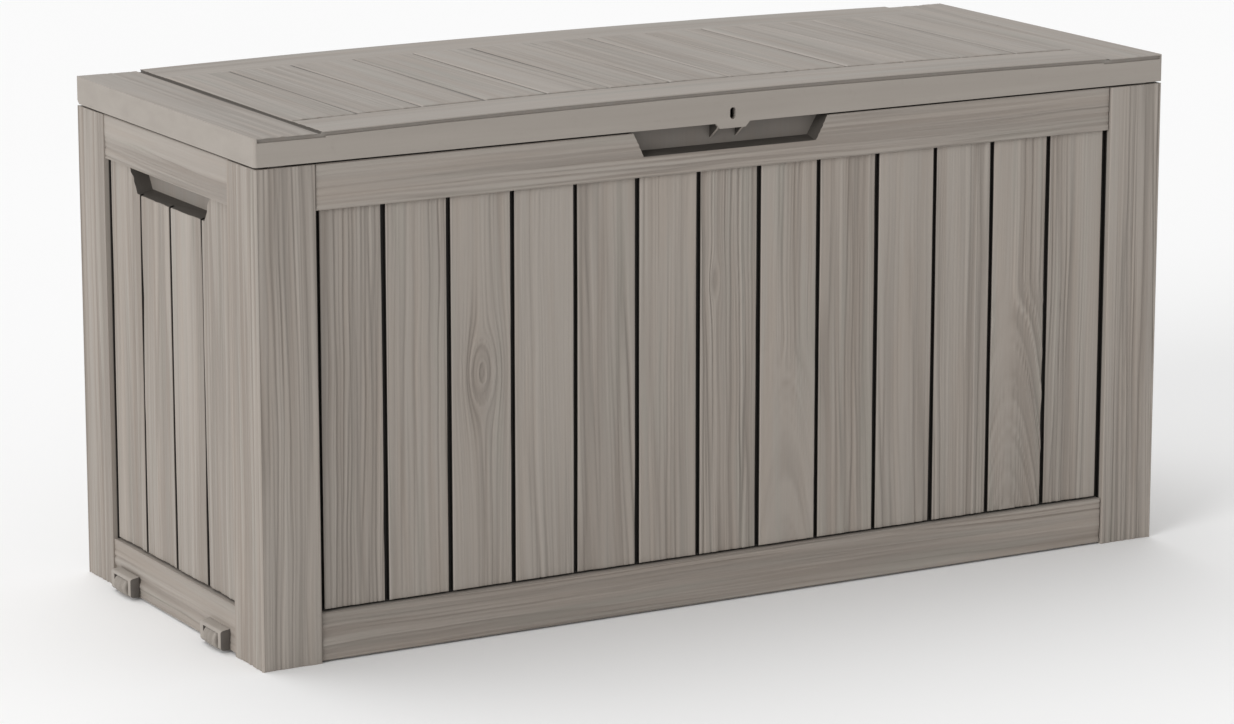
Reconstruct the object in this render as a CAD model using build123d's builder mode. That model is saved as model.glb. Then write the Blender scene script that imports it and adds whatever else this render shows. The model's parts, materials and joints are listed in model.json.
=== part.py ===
"""Deck storage box in moulded resin, board look, with a hinged lid on gas struts and two tilt wheels.

Origin: middle of the base, on the ground. +X runs along the length, -Y is the front with the lock,
+Z is up, and the wheels are on the -X end. Millimetres.

Walls are drawn in a frame of their own: u along the wall, v inward from the face of the posts, z up.
"""

import os
from math import cos, radians, sin

from build123d import *

# ---- driving dimensions ---------------------------------------------------------------------------
LENGTH = 1240.0
DEPTH = 506.0
BODY_HEIGHT = 582.2
LID_BASE = 584.8
LID_CORNER = 618.0
WALL = 3.5

POST_WIDTH = 76.0
POST_DEPTH = 24.0
POST_ROUND = 4.0
RAIL_SETBACK = 2.5
RAIL_DEPTH = 24.0
RAIL_WALL = 3.0
RAIL_GAP = 2.5
RAIL_EDGE = 1.2
LOWER_RAIL_TOP = 59.0
UPPER_RAIL_BASE = 529.0
PANEL_CLEARANCE = 1.2

SLAT_FACE = 7.0
SLAT_SKIN = 3.0
GROOVE_WIDTH = 6.0
GROOVE_DEPTH = 7.0
RIB_WALL = 2.5
SLAT_FOOT_GAP = 3.0
LONG_SLATS = 13
END_SLATS = 4

TONGUE_REACH = 12.0
SLIT_CLEARANCE = 0.3

# finger recess of the front rail, and the carrying handles of the ends
RECESS_HALF_TOP = 133.0
RECESS_HALF_BASE = 118.0
RECESS_BASE = 552.8
RECESS_DEPTH = 20.0
RECESS_RISE = 4.5
HANDLE_HALF_TOP = 113.0
HANDLE_HALF_BASE = 96.0
HANDLE_BASE = 498.0
HANDLE_DEPTH = 21.0
HANDLE_RISE = 4.5
POCKET_DRAFT = 2.0
POCKET_WALL = 3.0

# lock: a slot in the lid's tab and one in the lug behind it
TAB_HALF_TOP = 23.5
TAB_HALF_BASE = 17.5
TAB_DROP = 6.5
SLOT_WIDTH = 8.0
SLOT_HEIGHT = 14.0
SLOT_CENTRE = 595.8
LUG_HALF = 19.0
LUG_THICK = 4.0
LUG_GAP = 1.6
LUG_BASE = 578.5
LUG_TOP = 608.0
LUG_FOOT = 563.5
FIN_THICK = 3.0
FIN_TOP = 602.0

# lid
END_BOARD = 84.0
BORDER = 78.0
LID_BOARDS = 13
LID_BOARD_GAP = 3.0
LID_BOARD_RISE = 1.5
STRIP_RISE = 1.5
CROWN = 5.0
LID_SKIN = 4.0
END_NOTCH_WIDTH = 5.0
END_NOTCH_DROP = 5.0
EDGE_LIP = 1.2
EDGE_GROOVE_HEIGHT = 4.5
EDGE_GROOVE_DEPTH = 2.5
FIELD_ROOT = 5.0
LID_RIB = 2.5
LID_RIB_DROP = 12.0
LID_RIB_YS = (-110.0, 0.0, 110.0)
LID_RIB_XS = (-540.0, -360.0, -180.0, 0.0, 180.0, 360.0, 540.0)
LID_RIB_END_GAP = 80.0
LID_RIB_SIDE_GAP = 45.0
LID_RIB_ROOT = 2.0
LID_REST = 0.3
REST_SIZE = (20.0, 10.0)
REST_INSET = (30.0, 12.0)
LEAF_SEAT_MARGIN = 4.0
LEAF_SEAT_PLAY = 0.5
REAR_RELIEF = 8.0

# floor
FLOOR_CLEARANCE = 0.6
FLOOR_LEVEL = 16.0
FLOOR_SKIN = 4.0
FLOOR_UPSTAND = 40.0
FLOOR_RIB = 3.0
FLOOR_RIB_YS = (-110.0, 0.0, 110.0)
FLOOR_RIB_XS = (-450.0, -300.0, -150.0, 0.0, 150.0, 300.0, 450.0)
FLOOR_RIB_OVERLAP = 1.0
FLOOR_PAD = 60.0

# lid hinges
HINGE_HALF = 36.0
HINGE_PLACES = (-440.0, 0.0, 440.0)
KNUCKLE_RADIUS = 5.0
KNUCKLE_CLEARANCE = 1.2
PIN_RADIUS = 2.5
PIN_HEAD_RADIUS = 3.9
PIN_HEAD_THICK = 1.0
RUNNING = 0.06
KNUCKLES = 5
KNUCKLE_GAP = 0.4
LEAF_THICK = 2.4
LEAF_DROP = 34.0
LEAF_RISE = 27.0
LEAF_SCREW_PITCH = 24.0
BOX_LEAF_SCREW_EDGE = 10.0
LID_LEAF_SCREW_EDGE = 8.0

# gas struts
STRUT_X = 580.0
STRUT_ARM = 180.0
STRUT_ANGLE = 69.0
STUD_RADIUS = 4.0
EYE_RADIUS = 8.5
EYE_HALF = 5.0
NECK_RADIUS = 4.2
TUBE_RADIUS = 9.0
TUBE_BORE = 7.0
TUBE_START = 14.0
TUBE_END = 182.0
TUBE_CAP = 7.0
TUBE_FOOT = 4.0
TUBE_EDGE = 1.0
NECK_OVERLAP = 2.0
ROD_RADIUS = 4.0
ROD_BORE = 4.5
ROD_LENGTH = 184.8
PISTON_RADIUS = 6.5
PISTON_LENGTH = 8.0
BRACKET_PLATE = 2.5
STUD_PLAY = 0.4
STUD_SHOULDER = 2.2
STUD_HEAD = 1.6
FOOT_PLATE = (36.0, 44.0)
FOOT_PLATE_ROUND = 6.0
FOOT_SCREW_OFFSETS = (12.0, 15.0)
HEAD_FLANGE = (24.0, 52.0)
HEAD_CHEEK_WIDTH = 26.0
HEAD_CHEEK_DROP = 9.0
HEAD_CHEEK_GAP = 1.0
HEAD_SCREW_INSET = 2.0
HEAD_SCREW_OFFSET = 19.0

# tilt wheels: they stand out from the rail, past the cheeks of their housings
WHEEL_PLACES = (-130.0, 130.0)
WHEEL_RADIUS = 12.0
WHEEL_HALF = 16.5
WHEEL_ROUND = 3.5
WHEEL_OUT = 1.1
WHEEL_LEVEL = 12.8
WHEEL_ROOM = 1.2
AXLE_RADIUS = 3.0
AXLE_HALF = 26.5
TREAD_WIDTH = 1.0
TREAD_DEPTH = 0.5
TREAD_PITCH = 2.6
TREAD_GROOVES = 9
HOUSING_HALF = 28.5
HOUSING_OUT = 12.0
HOUSING_BASE = 3.0
HOUSING_TOP = 28.5
HOUSING_SLOPE = 2.0
HOUSING_ROUND = 3.0
CHEEK = 8.0
CHEEK_ROUND = 4.5
HOUSING_LUG = 10.0
LUG_WIDTH = 5.0
LUG_REACH = 5.0
LUG_PLAY = 0.2

# screws
SCREW_RADIUS = 2.0
SCREW_HOLE = 2.2
SCREW_HEAD = 4.2
SCREW_HEAD_THICK = 2.2
SCREW_LENGTH = 11.0
DRIVE_RADIUS = 1.6
DRIVE_DEPTH = 1.2
PANEL_SCREW_LEVELS = (100.0, 300.0, 480.0)
FLOOR_SCREW_XS = (-450.0, -150.0, 150.0, 450.0)
FLOOR_SCREW_YS = (-80.0, 80.0)

# ---- worked out -----------------------------------------------------------------------------------
HALF_LENGTH = LENGTH / 2
HALF_DEPTH = DEPTH / 2
BAY = HALF_LENGTH - POST_WIDTH
END_BAY = HALF_DEPTH - POST_WIDTH
SHEET_BACK = SLAT_FACE + GROOVE_DEPTH
SHEET_INNER = SHEET_BACK + RIB_WALL
RAIL_INNER = RAIL_SETBACK + RAIL_DEPTH
FIELD_HALF = HALF_LENGTH - END_BOARD
STRIP_LEVEL = LID_CORNER + STRIP_RISE
HINGE_Y = HALF_DEPTH
HINGE_Z = LID_BASE
STRUT_LEAN = radians(STRUT_ANGLE)
STRUT_FOOT = (HINGE_Y - STRUT_ARM * cos(STRUT_LEAN), HINGE_Z - STRUT_ARM * sin(STRUT_LEAN))
STRUT_HEAD = (HINGE_Y - STRUT_ARM, HINGE_Z)
WHEEL_X = -HALF_LENGTH - WHEEL_OUT
LID_UNDER = LID_CORNER - LID_SKIN
HEAD_SCREW_LENGTH = BRACKET_PLATE + LID_SKIN - 1.0

FRONT = Plane(origin=(0, -HALF_DEPTH, 0), x_dir=(1, 0, 0), z_dir=(0, 0, 1))
BACK = Plane(origin=(0, HALF_DEPTH, 0), x_dir=(-1, 0, 0), z_dir=(0, 0, 1))
LEFT = Plane(origin=(-HALF_LENGTH, 0, 0), x_dir=(0, -1, 0), z_dir=(0, 0, 1))
RIGHT = Plane(origin=(HALF_LENGTH, 0, 0), x_dir=(0, 1, 0), z_dir=(0, 0, 1))

MID = Align.CENTER
LOW = Align.MIN


def elevation(face, v):
    """The upright plane of a wall, v inside its posts, looking outward."""
    return Plane(origin=face.origin + face.y_dir * v, x_dir=face.x_dir, z_dir=face.y_dir * -1)


def crown_height(x):
    """Height of the lid's border strips at x, on a shallow parabola."""
    return STRIP_LEVEL + CROWN * (1 - (x / FIELD_HALF) ** 2)


def save(builder, name):
    builder.part.label = name
    export_step(builder.part, f"parts/{name}.step")


# ---- features shared by the walls -----------------------------------------------------------------
def slatted_sheet(half_width, slats, base, top):
    """Corrugated sheet: slats stand proud of the grooves between them, and are hollow behind."""
    pitch = (2 * half_width - GROOVE_WIDTH) / slats
    with Locations((0, SLAT_FACE, base)):
        Box(2 * half_width, SHEET_INNER - SLAT_FACE, top - base, align=(MID, LOW, LOW))
    grooves = [(-half_width + GROOVE_WIDTH / 2 + i * pitch, SLAT_FACE, base) for i in range(slats + 1)]
    with Locations(*grooves):
        Box(GROOVE_WIDTH, GROOVE_DEPTH, top - base, align=(MID, LOW, LOW), mode=Mode.SUBTRACT)
    hollow = pitch - GROOVE_WIDTH - 2 * RIB_WALL
    first = -half_width + (GROOVE_WIDTH + pitch) / 2
    with Locations(*[(first + i * pitch, SLAT_FACE + SLAT_SKIN, base) for i in range(slats)]):
        Box(hollow, SHEET_INNER, top - base, align=(MID, LOW, LOW), mode=Mode.SUBTRACT)
    with Locations((0, SLAT_FACE, base)):
        Box(2 * half_width, GROOVE_DEPTH, SLAT_FOOT_GAP, align=(MID, LOW, LOW), mode=Mode.SUBTRACT)
    with Locations((0, SHEET_BACK, base)):
        Box(2 * half_width, RIB_WALL, 2 * SLAT_FOOT_GAP, align=(MID, LOW, LOW))


def rail(half_width, base, top):
    """Hollow rail, open at both of its ends, with its outer edges eased."""
    with Locations((0, RAIL_SETBACK, base)):
        bar = Box(2 * half_width, RAIL_DEPTH, top - base, align=(MID, LOW, LOW))
    outer = bar.edges().filter_by(lambda e: abs(e.length - 2 * half_width) < 1)
    chamfer(outer, RAIL_EDGE)
    with Locations((0, RAIL_SETBACK + RAIL_WALL, base + RAIL_WALL)):
        Box(
            2 * half_width, RAIL_DEPTH - 2 * RAIL_WALL, top - base - 2 * RAIL_WALL,
            align=(MID, LOW, LOW), mode=Mode.SUBTRACT,
        )


def pocket(face, shape, top, base, depth, rise, start, grow, mode):
    """Tapering finger pocket; grow makes the block that its walls are left in."""
    half_top, half_base = shape
    steps = ((start, 0.0, 0.0), (start + depth + grow, POCKET_DRAFT, rise))
    sections = []
    for v, draft, lift in steps:
        with BuildSketch(elevation(face, v)) as section:
            with BuildLine():
                wide_base, wide_top = half_base + grow - draft, half_top + grow - draft
                low = base - grow + lift
                Polyline((-wide_base, low), (wide_base, low), (wide_top, top), (-wide_top, top), close=True)
            make_face()
        sections.append(section.sketch)
    loft(sections, mode=mode)


def screw_holes(places, direction):
    """Clearance holes at (x, y, z) along direction."""
    for place in places:
        with BuildSketch(Plane(origin=place, z_dir=direction)) as hole:
            Circle(SCREW_HOLE)
        extrude(hole.sketch, amount=SCREW_LENGTH, both=True, mode=Mode.SUBTRACT)


def screws(name, groups, length=SCREW_LENGTH):
    """Pan-head screws, one solid each: groups of places under the head and the way they drive."""
    with BuildPart() as group:
        for places, direction in groups:
            for place in places:
                under = Plane(origin=place, z_dir=direction)
                with BuildSketch(under):
                    Circle(SCREW_RADIUS)
                extrude(amount=length)
                with BuildSketch(under):
                    Circle(SCREW_HEAD)
                extrude(amount=-SCREW_HEAD_THICK)
                with BuildSketch(under.offset(-SCREW_HEAD_THICK)):
                    RegularPolygon(DRIVE_RADIUS, 6)
                extrude(amount=DRIVE_DEPTH, mode=Mode.SUBTRACT)
    save(group, name)


def mirrored(places):
    return places + [(-x, y, z) for x, y, z in places]


# ---- screw places ---------------------------------------------------------------------------------
TONGUE_X = BAY + TONGUE_REACH / 2
POST_INNER = HALF_DEPTH - POST_DEPTH
FRONT_PANEL_SCREWS = mirrored([(TONGUE_X, -POST_INNER, z) for z in PANEL_SCREW_LEVELS])
BACK_PANEL_SCREWS = mirrored([(TONGUE_X, POST_INNER, z) for z in PANEL_SCREW_LEVELS])
FLOOR_HALF_X = HALF_LENGTH - RAIL_INNER - FLOOR_CLEARANCE
FLOOR_HALF_Y = HALF_DEPTH - RAIL_INNER - FLOOR_CLEARANCE
FLOOR_SCREW_LEVEL = (FLOOR_LEVEL + FLOOR_UPSTAND) / 2
FLOOR_FRONT_SCREWS = [(x, -FLOOR_HALF_Y + FLOOR_RIB, FLOOR_SCREW_LEVEL) for x in FLOOR_SCREW_XS]
FLOOR_BACK_SCREWS = [(x, -y, z) for x, y, z in FLOOR_FRONT_SCREWS]
FLOOR_LEFT_SCREWS = [(-FLOOR_HALF_X + FLOOR_RIB, y, FLOOR_SCREW_LEVEL) for y in FLOOR_SCREW_YS]
FLOOR_RIGHT_SCREWS = [(-x, y, z) for x, y, z in FLOOR_LEFT_SCREWS]
BOX_LEAF_Z = HINGE_Z - LEAF_DROP + BOX_LEAF_SCREW_EDGE
LID_LEAF_Z = HINGE_Z + LEAF_RISE - LID_LEAF_SCREW_EDGE
LEAF_XS = [c + s * LEAF_SCREW_PITCH for c in HINGE_PLACES for s in (-1, 0, 1)]
BOX_LEAF_SCREWS = [(x, HINGE_Y, BOX_LEAF_Z) for x in LEAF_XS]
LID_LEAF_SCREWS = [(x, HINGE_Y, LID_LEAF_Z) for x in LEAF_XS]
BRACKET_SCREW_X = HALF_LENGTH - POST_DEPTH - BRACKET_PLATE
FOOT_SCREWS = [
    (BRACKET_SCREW_X, STRUT_FOOT[0] + i * FOOT_SCREW_OFFSETS[0], STRUT_FOOT[1] + j * FOOT_SCREW_OFFSETS[1])
    for i in (-1, 1) for j in (-1, 1)
]
HEAD_FLANGE_Z = LID_UNDER - BRACKET_PLATE
HEAD_SCREW_X = STRUT_X - HEAD_SCREW_INSET
HEAD_SCREWS = [(HEAD_SCREW_X, STRUT_HEAD[0] + i * HEAD_SCREW_OFFSET, HEAD_FLANGE_Z) for i in (-1, 1)]

os.makedirs("parts", exist_ok=True)


# ---- long panels: front and back ------------------------------------------------------------------
def long_panel(face, name, panel_screws, inward):
    half = BAY - PANEL_CLEARANCE
    with BuildPart(face) as panel:
        slatted_sheet(half, LONG_SLATS, LOWER_RAIL_TOP, UPPER_RAIL_BASE)
        rail(half, RAIL_GAP, LOWER_RAIL_TOP)
        rail(half, UPPER_RAIL_BASE, BODY_HEIGHT)
        for side in (-1, 1):
            with Locations((side * half, SHEET_BACK, RAIL_GAP)):
                Box(2 * TONGUE_REACH, RIB_WALL, UPPER_RAIL_BASE - RAIL_GAP, align=(MID, LOW, LOW))
        if name == "front_panel":
            shape = (RECESS_HALF_TOP, RECESS_HALF_BASE)
            size = (BODY_HEIGHT, RECESS_BASE, RECESS_DEPTH, RECESS_RISE, RAIL_SETBACK)
            pocket(face, shape, *size, grow=POCKET_WALL, mode=Mode.ADD)
            pocket(face, shape, *size, grow=0.0, mode=Mode.SUBTRACT)
            lock_lug(face)
            floor_screws = FLOOR_FRONT_SCREWS
        else:
            hinge_seats()
            screw_holes(BOX_LEAF_SCREWS, (0, -1, 0))
            floor_screws = FLOOR_BACK_SCREWS
        screw_holes(panel_screws, inward)
        screw_holes(floor_screws, inward)
    save(panel, name)


def lock_lug(face):
    """Slotted plate behind the lid's tab, held off the recess wall by two fins."""
    near = WALL + LUG_GAP
    back = RAIL_SETBACK + RECESS_DEPTH + POCKET_WALL / 2
    with Locations((0, near, LUG_BASE)):
        Box(2 * LUG_HALF, LUG_THICK, LUG_TOP - LUG_BASE, align=(MID, LOW, LOW))
    for side in (-1, 1):
        u = side * (LUG_HALF - FIN_THICK / 2)
        fin = Plane(origin=face.origin + face.x_dir * u, x_dir=face.y_dir, z_dir=face.x_dir)
        with BuildSketch(fin) as section:
            with BuildLine():
                Polyline(
                    (near, LUG_BASE), (back, LUG_FOOT), (back, BODY_HEIGHT), (near + LUG_THICK, FIN_TOP),
                    (near, FIN_TOP), close=True,
                )
            make_face()
        extrude(section.sketch, amount=FIN_THICK / 2, both=True)
    with BuildSketch(elevation(face, near)) as slot:
        with Locations((0, SLOT_CENTRE)):
            SlotOverall(SLOT_HEIGHT, SLOT_WIDTH, rotation=90)
    extrude(slot.sketch, amount=-LUG_THICK, mode=Mode.SUBTRACT)


def hinge_seats():
    """Round relief for each hinge barrel, wherever the barrel's length lies."""
    for x in HINGE_PLACES:
        with BuildSketch(Plane(origin=(x, HINGE_Y, HINGE_Z), z_dir=(1, 0, 0))) as barrel:
            Circle(KNUCKLE_RADIUS + KNUCKLE_CLEARANCE)
        extrude(barrel.sketch, amount=HINGE_HALF + KNUCKLE_CLEARANCE, both=True, mode=Mode.SUBTRACT)


# ---- end panels, each with two posts --------------------------------------------------------------
def post_outline(side, inset):
    """L-section of one post, inset for its hollow."""
    a = HALF_DEPTH - inset
    b = END_BAY + inset
    c = HALF_DEPTH - POST_DEPTH + inset
    with BuildLine() as outline:
        Polyline(
            (side * a, inset), (side * b, inset), (side * b, POST_DEPTH - inset),
            (side * c, POST_DEPTH - inset), (side * c, POST_WIDTH - inset), (side * a, POST_WIDTH - inset),
            close=True,
        )
    make_face(outline.edges())


def end_panel(face, name, outward):
    with BuildPart(face) as panel:
        slatted_sheet(END_BAY, END_SLATS, LOWER_RAIL_TOP, UPPER_RAIL_BASE)
        rail(END_BAY, RAIL_GAP, LOWER_RAIL_TOP)
        rail(END_BAY, UPPER_RAIL_BASE, BODY_HEIGHT)
        for side in (-1, 1):
            with BuildSketch(face):
                post_outline(side, 0.0)
            post = extrude(amount=BODY_HEIGHT)
            outer = face.from_local_coords((side * HALF_DEPTH, 0, BODY_HEIGHT / 2))
            fillet(post.edges().filter_by(Axis.Z).sort_by_distance(outer)[0], POST_ROUND)
            with BuildSketch(face):
                post_outline(side, WALL)
            extrude(amount=BODY_HEIGHT - WALL, mode=Mode.SUBTRACT)
            slit = side * (HALF_DEPTH - SHEET_BACK - RIB_WALL / 2)
            with Locations((slit, POST_WIDTH, 0)):
                Box(
                    RIB_WALL + 2 * SLIT_CLEARANCE, 2 * WALL + 1, UPPER_RAIL_BASE + 1,
                    align=(MID, MID, LOW), mode=Mode.SUBTRACT,
                )
        shape = (HANDLE_HALF_TOP, HANDLE_HALF_BASE)
        size = (UPPER_RAIL_BASE, HANDLE_BASE, HANDLE_DEPTH, HANDLE_RISE)
        pocket(face, shape, *size, start=SLAT_FACE, grow=POCKET_WALL, mode=Mode.ADD)
        pocket(face, shape, *size, start=SLAT_FACE, grow=0.0, mode=Mode.SUBTRACT)
        handle_notches()
        sign = 1 if name == "end_panel_right" else -1
        screw_holes([p for p in FRONT_PANEL_SCREWS + BACK_PANEL_SCREWS if p[0] * sign > 0], (0, 1, 0))
        screw_holes(FLOOR_RIGHT_SCREWS if sign > 0 else FLOOR_LEFT_SCREWS, (1, 0, 0))
        screw_holes([(sign * x, y, z) for x, y, z in FOOT_SCREWS], (1, 0, 0))
        if name == "end_panel_left":
            wheel_pockets()
    save(panel, name)


def handle_notches():
    """Carries the grooves between the slats up through the lip of the handle."""
    pitch = (2 * END_BAY - GROOVE_WIDTH) / END_SLATS
    with Locations(*[(u, SLAT_FACE, HANDLE_BASE - 2 * POCKET_WALL) for u in (-pitch, 0.0, pitch)]):
        Box(
            GROOVE_WIDTH, GROOVE_DEPTH, 2 * POCKET_WALL + HANDLE_RISE,
            align=(MID, LOW, LOW), mode=Mode.SUBTRACT,
        )


def wheel_pockets():
    """Room for the part of each wheel that lies inside the lower rail, and for the housing's lugs."""
    for y in WHEEL_PLACES:
        for side in (-1, 1):
            with Locations((-y + side * (HOUSING_HALF - CHEEK / 2), 0, WHEEL_LEVEL)):
                depth = RAIL_SETBACK + LUG_REACH + LUG_PLAY
                Box(LUG_WIDTH + 2 * LUG_PLAY, 2 * depth, HOUSING_LUG + 2 * LUG_PLAY, mode=Mode.SUBTRACT)
        with Locations((-y, 0, 0)):
            Box(
                2 * (WHEEL_HALF + WHEEL_ROOM), 2 * (WHEEL_RADIUS + WHEEL_ROOM - WHEEL_OUT),
                WHEEL_LEVEL + WHEEL_RADIUS + WHEEL_ROOM, align=(MID, MID, LOW), mode=Mode.SUBTRACT,
            )


# ---- lid ------------------------------------------------------------------------------------------
def crown_profile(half, base, lift):
    """Arched section of the lid between its end boards, on the XZ plane."""
    with BuildLine() as outline:
        ends = crown_height(half) + lift
        Polyline((-half, ends), (-half, base), (half, base), (half, ends))
        ThreePointArc((half, ends), (0, crown_height(0) + lift), (-half, ends))
    make_face(outline.edges())


def across(y):
    return Plane(origin=(0, y, 0), x_dir=(1, 0, 0), z_dir=(0, -1, 0))


def lid_shell():
    with BuildPart() as lid:
        with Locations((0, 0, LID_BASE)):
            Box(LENGTH, DEPTH, LID_CORNER - LID_BASE, align=(MID, MID, LOW))
        fillet(lid.edges().filter_by(Axis.Z), POST_ROUND)
        with BuildSketch(across(0)):
            crown_profile(FIELD_HALF, LID_BASE + FIELD_ROOT, 0.0)
        extrude(amount=HALF_DEPTH, both=True)
        with BuildSketch(across(0)):
            crown_profile(FIELD_HALF, LID_BASE + FIELD_ROOT, LID_BOARD_RISE)
        extrude(amount=HALF_DEPTH - BORDER, both=True)
        lid_hollow()
        lid_grooves()
        lid_edge_grooves()
        lid_ribs()
        lid_lock_tab()
        lid_rear()
    save(lid, "lid_shell")


def lid_hollow():
    with Locations((0, 0, LID_BASE)):
        Box(
            LENGTH - 2 * WALL, DEPTH - 2 * WALL, LID_UNDER - LID_BASE,
            align=(MID, MID, LOW), mode=Mode.SUBTRACT,
        )
    with BuildSketch(across(0)) as hollow:
        crown_profile(FIELD_HALF - LID_SKIN, LID_BASE + FIELD_ROOT, -LID_SKIN)
    extrude(hollow.sketch, amount=HALF_DEPTH - WALL - EDGE_GROOVE_DEPTH, both=True, mode=Mode.SUBTRACT)


def lid_grooves():
    """Gaps between the boards, and the notches beside the end boards."""
    pitch = 2 * FIELD_HALF / LID_BOARDS
    for i in range(1, LID_BOARDS):
        x = -FIELD_HALF + i * pitch
        with Locations((x, 0, crown_height(x))):
            Box(
                LID_BOARD_GAP, DEPTH - 2 * BORDER, 2 * LID_BOARD_RISE + CROWN,
                align=(MID, MID, LOW), mode=Mode.SUBTRACT,
            )
    for side in (-1, 1):
        x = side * (FIELD_HALF + END_NOTCH_WIDTH / 2)
        with Locations((x, 0, LID_CORNER - LID_BOARD_RISE)):
            Box(END_NOTCH_WIDTH, DEPTH, 2 * LID_BOARD_RISE, align=(MID, MID, LOW), mode=Mode.SUBTRACT)
        for y in (-HALF_DEPTH, HALF_DEPTH):
            with Locations((x, y, LID_CORNER - END_NOTCH_DROP)):
                Box(
                    END_NOTCH_WIDTH, 2 * EDGE_GROOVE_DEPTH, 2 * END_NOTCH_DROP,
                    align=(MID, MID, LOW), mode=Mode.SUBTRACT,
                )


def lid_edge_grooves():
    """Shadow groove under the lip of the front and back strips."""
    for y, way in ((-HALF_DEPTH, -1), (HALF_DEPTH, 1)):
        with BuildSketch(across(y)) as groove:
            crown_profile(FIELD_HALF, LID_CORNER - EDGE_GROOVE_HEIGHT - EDGE_LIP, -EDGE_LIP)
            with Locations((0, LID_CORNER - EDGE_LIP)):
                Rectangle(LENGTH - 2 * POST_ROUND, EDGE_GROOVE_HEIGHT, align=(MID, Align.MAX))
            crown_profile_below()
        extrude(groove.sketch, amount=way * EDGE_GROOVE_DEPTH, mode=Mode.SUBTRACT)


def crown_profile_below():
    """Takes the part below the groove away, so that the groove follows the crown."""
    drop = EDGE_LIP + EDGE_GROOVE_HEIGHT
    with BuildLine() as outline:
        half = FIELD_HALF - END_NOTCH_WIDTH
        ends = crown_height(half) - drop
        Polyline((-half, ends), (-half, LID_BASE), (half, LID_BASE), (half, ends))
        ThreePointArc((half, ends), (0, crown_height(0) - drop), (-half, ends))
    make_face(outline.edges(), mode=Mode.SUBTRACT)


def lid_ribs():
    """Stiffening ribs under the lid, clear of the struts and of the lock lug, and its rest blocks."""
    base = LID_UNDER - LID_RIB_DROP
    height = LID_RIB_DROP + LID_RIB_ROOT
    for y in LID_RIB_YS:
        with Locations((0, y, base)):
            Box(LENGTH - 2 * LID_RIB_END_GAP, LID_RIB, height, align=(MID, MID, LOW))
    for x in LID_RIB_XS:
        arch = CROWN - 1 if abs(x) < FIELD_HALF else 0
        with Locations((x, 0, base)):
            Box(LID_RIB, DEPTH - 2 * LID_RIB_SIDE_GAP, height + arch, align=(MID, MID, LOW))
    for i in (-1, 1):
        for j in (-1, 1):
            rest_base = BODY_HEIGHT + LID_REST
            with Locations((i * (HALF_LENGTH - REST_INSET[0]), j * (HALF_DEPTH - REST_INSET[1]), rest_base)):
                Box(*REST_SIZE, LID_UNDER - rest_base + LID_RIB_ROOT / 2, align=(MID, MID, LOW))


def lid_lock_tab():
    with BuildSketch(elevation(FRONT, 0)) as tab:
        with BuildLine():
            Polyline(
                (-TAB_HALF_TOP, LID_BASE + 1), (-TAB_HALF_TOP, LID_BASE),
                (-TAB_HALF_BASE, LID_BASE - TAB_DROP), (TAB_HALF_BASE, LID_BASE - TAB_DROP),
                (TAB_HALF_TOP, LID_BASE), (TAB_HALF_TOP, LID_BASE + 1), close=True,
            )
        make_face()
    extrude(tab.sketch, amount=-WALL)
    with BuildSketch(elevation(FRONT, 0)) as slot:
        with Locations((0, SLOT_CENTRE)):
            SlotOverall(SLOT_HEIGHT, SLOT_WIDTH, rotation=90)
    extrude(slot.sketch, amount=-2 * WALL, mode=Mode.SUBTRACT)


def lid_rear():
    """Seats for the lid leaves in the rear skirt, and the relief beside the rear posts."""
    for x in HINGE_PLACES:
        with Locations((x, HALF_DEPTH - 2 * WALL - LEAF_THICK, LID_BASE)):
            Box(
                2 * (HINGE_HALF + LEAF_SEAT_MARGIN), 2 * WALL, LEAF_RISE + LEAF_SEAT_MARGIN,
                align=(MID, LOW, LOW),
            )
        with Locations((x, HALF_DEPTH - LEAF_THICK, LID_BASE)):
            Box(
                2 * (HINGE_HALF + LEAF_SEAT_PLAY), 2 * LEAF_THICK, LEAF_RISE + LEAF_SEAT_PLAY,
                align=(MID, LOW, LOW), mode=Mode.SUBTRACT,
            )
    hinge_seats()
    screw_holes(LID_LEAF_SCREWS, (0, -1, 0))
    for x, y, z in mirrored(HEAD_SCREWS):
        with BuildSketch(Plane.XY.offset(z)) as hole:
            with Locations((x, y)):
                Circle(SCREW_HOLE)
        extrude(hole.sketch, amount=HEAD_SCREW_LENGTH + LEAF_SEAT_PLAY, mode=Mode.SUBTRACT)
    for side in (-1, 1):
        end = Plane(origin=(side * HALF_LENGTH, 0, 0), x_dir=(0, 1, 0), z_dir=(1, 0, 0))
        with BuildSketch(end) as relief:
            with BuildLine():
                Polyline(
                    (HALF_DEPTH + 1, LID_BASE), (HALF_DEPTH - REAR_RELIEF, LID_BASE),
                    (HALF_DEPTH + 1, LID_BASE + REAR_RELIEF), close=True,
                )
            make_face()
        extrude(relief.sketch, amount=2 * WALL, both=True, mode=Mode.SUBTRACT)


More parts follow.
